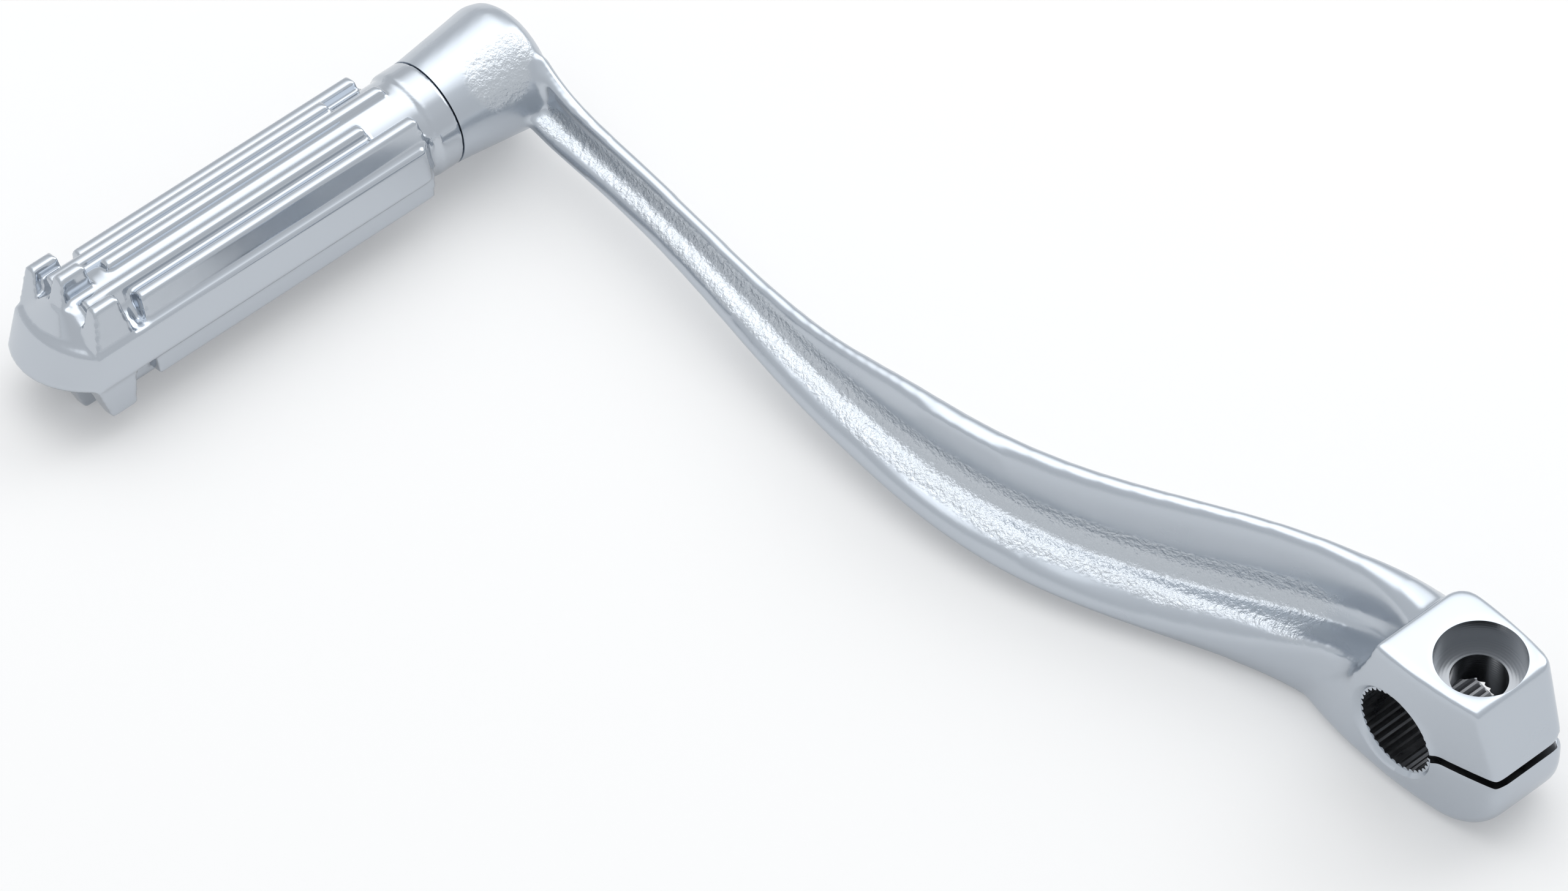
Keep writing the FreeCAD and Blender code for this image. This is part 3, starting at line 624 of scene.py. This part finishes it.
def plug_machined_holes(skin):
    """Fills the clamp's bore, bolt hole and slot, and gives the boss a stub past the seam."""
    bore_start, bore_end = CLAMP_OUTER_FACE + PLUG_FIT, HUB_FACE - PLUG_FIT
    add_bar(skin, BORE_CENTRE, ALONG_Y, BORE_RIM + BORE_LEAD, bore_start, bore_end)
    add_bar(skin, BOLT_CENTRE, ALONG_Z, SEAT_RADIUS + PLUG_FIT, 0.0, SEAT_TOP - SEAT_PLUG_DROP)
    thread_radius, thread_floor = THREAD_RADIUS + THREAD_PLUG_FIT, THREAD_FLOOR - THREAD_PLUG_FIT
    add_bar(skin, BOLT_CENTRE, ALONG_Z, thread_radius, thread_floor, THREAD_PLUG_TOP)
    add_slab(
        skin, SLOT_PLUG_START, SLOT_PLUG_END, SLOT_PLUG_OUTER, SLOT_PLUG_INNER,
        tip_share=SLOT_PLUG_TIP, thickness=SLOT_WIDTH + SLOT_PLUG_FIT,
    )
    add_bar(skin, PEG_AXIS, ALONG_Y, COLLAR_RADIUS, SEAM - COLLAR_STUB, SEAM + COLLAR_ROOT)


def finish_piece(label, mesh, node, crease):
    mesh.name = label
    mesh.shade_smooth()
    mesh.set_sharp_from_angle(angle=math.radians(crease))
    piece = bpy.data.objects.new(label, mesh)
    bpy.context.collection.objects.link(piece)
    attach(piece, "root")
    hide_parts(node)


def make_arm():
    skin = merged_copy("shift_arm")
    plug_machined_holes(skin)
    casting = even_skin(skin, "casting", ARM_FACE_SIZE)
    slope_ledge(casting)
    wear = [wheel_weight(corner.co / MM) for corner in casting.vertices]
    casting = polish(casting, CROWN_STROKES, wear)
    casting = polish(casting, ARM_STROKES)
    casting.materials.clear()
    casting.materials.append(ARM_CHROME)
    mesh = machine_clamp(casting)
    trim_seam(mesh)
    cover = mesh.attributes.new("cast_skin", "FLOAT", "POINT")
    cover.data.foreach_set("value", [cast_skin_at(corner.co / MM) for corner in mesh.vertices])
    finish_piece("cast_arm", mesh, "shift_arm", ARM_CREASE)


def make_peg():
    """The peg is turned level for its even skin, so that the ribs lie along the faces, and turned back."""
    skin = merged_copy("toe_peg")
    axis = Vector(PEG_AXIS) * MM
    bmesh.ops.rotate(skin, verts=skin.verts, cent=axis, matrix=Matrix.Rotation(PEG_ROLL, 3, "Y"))
    mesh = polish(even_skin(skin, "ribbed_peg", PEG_FACE_SIZE), PEG_STROKES)
    roll_back = Matrix.Rotation(-PEG_ROLL, 4, "Y")
    mesh.transform(Matrix.Translation(axis) @ roll_back @ Matrix.Translation(-axis))
    mesh.materials.clear()
    mesh.materials.append(PEG_CHROME)
    finish_piece("ribbed_peg", mesh, "toe_peg", PEG_CREASE)


def make_fixing(node, label):
    skin = merged_copy(node)
    mesh = bpy.data.meshes.new(label)
    skin.to_mesh(mesh)
    skin.free()
    mesh.materials.append(SCREW_ZINC)
    finish_piece(label, mesh, node, FIXING_CREASE)


make_arm()
make_peg()
make_fixing("peg_screw", "peg_fixing_screw")
make_fixing("lock_washer", "spring_washer")


# Table, light and camera. Lengths are in metres, powers in watts.

TABLE_SIZE = 6.0
TABLE_WHITE = (0.80, 0.80, 0.80)
TABLE_GLOW = 0.20

# Tone of the studio from the horizon, 0, to straight above, 1, and its level where it lights and isn't seen.
STUDIO_TONES = ((0.0, 0.90), (0.2, 0.78), (0.5, 0.80), (1.0, 0.95))
STUDIO_TINT = (0.98, 1.0, 1.02)
STUDIO_LAMP_LEVEL = 0.6

LEVER_MIDDLE = (-0.09, -0.03, 0.0)
BOX_MIDDLE = (0.5, 0.5, 0.0)
BOX_EDGE = 0.5
BOX_CORE = 0.1

# The photograph's viewpoint. The aim is given from the bore, along the picture's own right and up.
VIEW_AZIMUTH = math.radians(48.98)
VIEW_ELEVATION = math.radians(50.75)
VIEW_DISTANCE = 1.512
LENS_TO_WIDTH = 6.2602
AIM_RIGHT = -102.0 * MM
AIM_UP = 38.24 * MM
AIM_ACROSS = 1.75 * MM


def seen_directly(tree):
    """1 for what the camera sees, also in a reflection or through glass, and 0 for what only gives light."""
    path = tree.nodes.new("ShaderNodeLightPath")
    seen = add_node(tree, "ShaderNodeMath", operation="MAXIMUM")
    any_seen = add_node(tree, "ShaderNodeMath", operation="MAXIMUM")
    tree.links.new(path.outputs["Is Camera Ray"], seen.inputs[0])
    tree.links.new(path.outputs["Is Glossy Ray"], seen.inputs[1])
    tree.links.new(seen.outputs[0], any_seen.inputs[0])
    tree.links.new(path.outputs["Is Transmission Ray"], any_seen.inputs[1])
    return any_seen.outputs[0]


def lay_table():
    """A white table; what the camera and the chrome see of it is lifted to white, and the shadow stays."""
    mesh = bpy.data.meshes.new("table")
    top = bmesh.new()
    level = Matrix.Translation((0, 0, TABLE_HEIGHT))
    bmesh.ops.create_grid(top, x_segments=1, y_segments=1, size=TABLE_SIZE, matrix=level)
    top.to_mesh(mesh)
    top.free()
    table = bpy.data.objects.new("table", mesh)
    bpy.context.collection.objects.link(table)
    material, tree, shader = new_material("white_table", TABLE_WHITE, metallic=0.0, roughness=0.9)
    shader.inputs["Specular IOR Level"].default_value = 0.0
    shader.inputs["Emission Color"].default_value = (1.0, 1.0, 1.0, 1.0)
    glow = add_node(tree, "ShaderNodeMath", operation="MULTIPLY")
    glow.inputs[1].default_value = TABLE_GLOW
    tree.links.new(seen_directly(tree), glow.inputs[0])
    tree.links.new(glow.outputs[0], shader.inputs["Emission Strength"])
    mesh.materials.append(material)


def add_softbox(name, place, width, height, power):
    """A soft box that is brightest in its middle and fades out towards its edge."""
    lamp = bpy.data.lights.new(name, "AREA")
    lamp.shape = "RECTANGLE"
    lamp.size = width
    lamp.size_y = height
    lamp.energy = power
    lamp.use_nodes = True
    tree = lamp.node_tree
    place_on_box = tree.nodes.new("ShaderNodeTexCoord")
    off_middle = add_node(tree, "ShaderNodeVectorMath", operation="DISTANCE")
    off_middle.inputs[1].default_value = BOX_MIDDLE
    fade = add_span(tree, BOX_EDGE, BOX_CORE, "SMOOTHSTEP")
    tree.links.new(place_on_box.outputs["UV"], off_middle.inputs[0])
    tree.links.new(off_middle.outputs["Value"], fade.inputs["Value"])
    tree.links.new(fade.outputs["Result"], tree.nodes["Emission"].inputs["Strength"])
    box = bpy.data.objects.new(name, lamp)
    box.location = place
    box.rotation_euler = (Vector(LEVER_MIDDLE) - Vector(place)).to_track_quat("-Z", "Y").to_euler()
    bpy.context.collection.objects.link(box)


def light_the_room():
    """A white studio, dimmer as a lamp than as a backdrop, with a soft box overhead and one behind."""
    world = bpy.data.worlds.new("white_studio")
    bpy.context.scene.world = world
    world.use_nodes = True
    tree = world.node_tree
    link = tree.links.new
    background = tree.nodes["Background"]
    place = tree.nodes.new("ShaderNodeTexCoord")
    parts = tree.nodes.new("ShaderNodeSeparateXYZ")
    ramp = tree.nodes.new("ShaderNodeValToRGB")
    while len(ramp.color_ramp.elements) < len(STUDIO_TONES):
        ramp.color_ramp.elements.new(0.5)
    for element, (height, tone) in zip(ramp.color_ramp.elements, STUDIO_TONES):
        element.position = height
        element.color = (*(tone * tint for tint in STUDIO_TINT), 1.0)
    link(place.outputs["Generated"], parts.inputs["Vector"])
    link(parts.outputs["Z"], ramp.inputs["Fac"])
    link(ramp.outputs["Color"], background.inputs["Color"])
    strength = add_node(tree, "ShaderNodeMapRange")
    strength.inputs["To Min"].default_value = STUDIO_LAMP_LEVEL
    strength.inputs["To Max"].default_value = 1.0
    link(seen_directly(tree), strength.inputs["Value"])
    link(strength.outputs["Result"], background.inputs["Strength"])
    add_softbox("overhead_box", place=(-0.62, 0.15, 1.40), width=3.4, height=3.4, power=45.0)
    add_softbox("back_box", place=(-0.05, 1.25, 1.00), width=1.9, height=1.6, power=19.0)


def set_up_camera():
    """The photograph's viewpoint: its direction, distance and aim."""
    right = Vector((math.cos(VIEW_AZIMUTH), math.sin(VIEW_AZIMUTH), 0))
    towards = Vector((
        math.sin(VIEW_AZIMUTH) * math.cos(VIEW_ELEVATION),
        -math.cos(VIEW_AZIMUTH) * math.cos(VIEW_ELEVATION),
        math.sin(VIEW_ELEVATION),
    ))
    up = towards.cross(right)
    aim = Vector((0, AIM_ACROSS, 0)) + right * AIM_RIGHT + up * AIM_UP
    lens = bpy.data.cameras.new("photo_lens")
    lens.sensor_fit = "HORIZONTAL"
    lens.lens = lens.sensor_width * LENS_TO_WIDTH
    lens.clip_start = 0.05
    lens.clip_end = 30.0
    camera = bpy.data.objects.new("photo_camera", lens)
    turn = Matrix((right, up, towards)).transposed().to_4x4()
    camera.matrix_world = Matrix.Translation(aim + towards * VIEW_DISTANCE) @ turn
    bpy.context.collection.objects.link(camera)
    bpy.context.scene.camera = camera


lay_table()
light_the_room()
set_up_camera()
bpy.context.scene.view_settings.view_transform = "Standard"
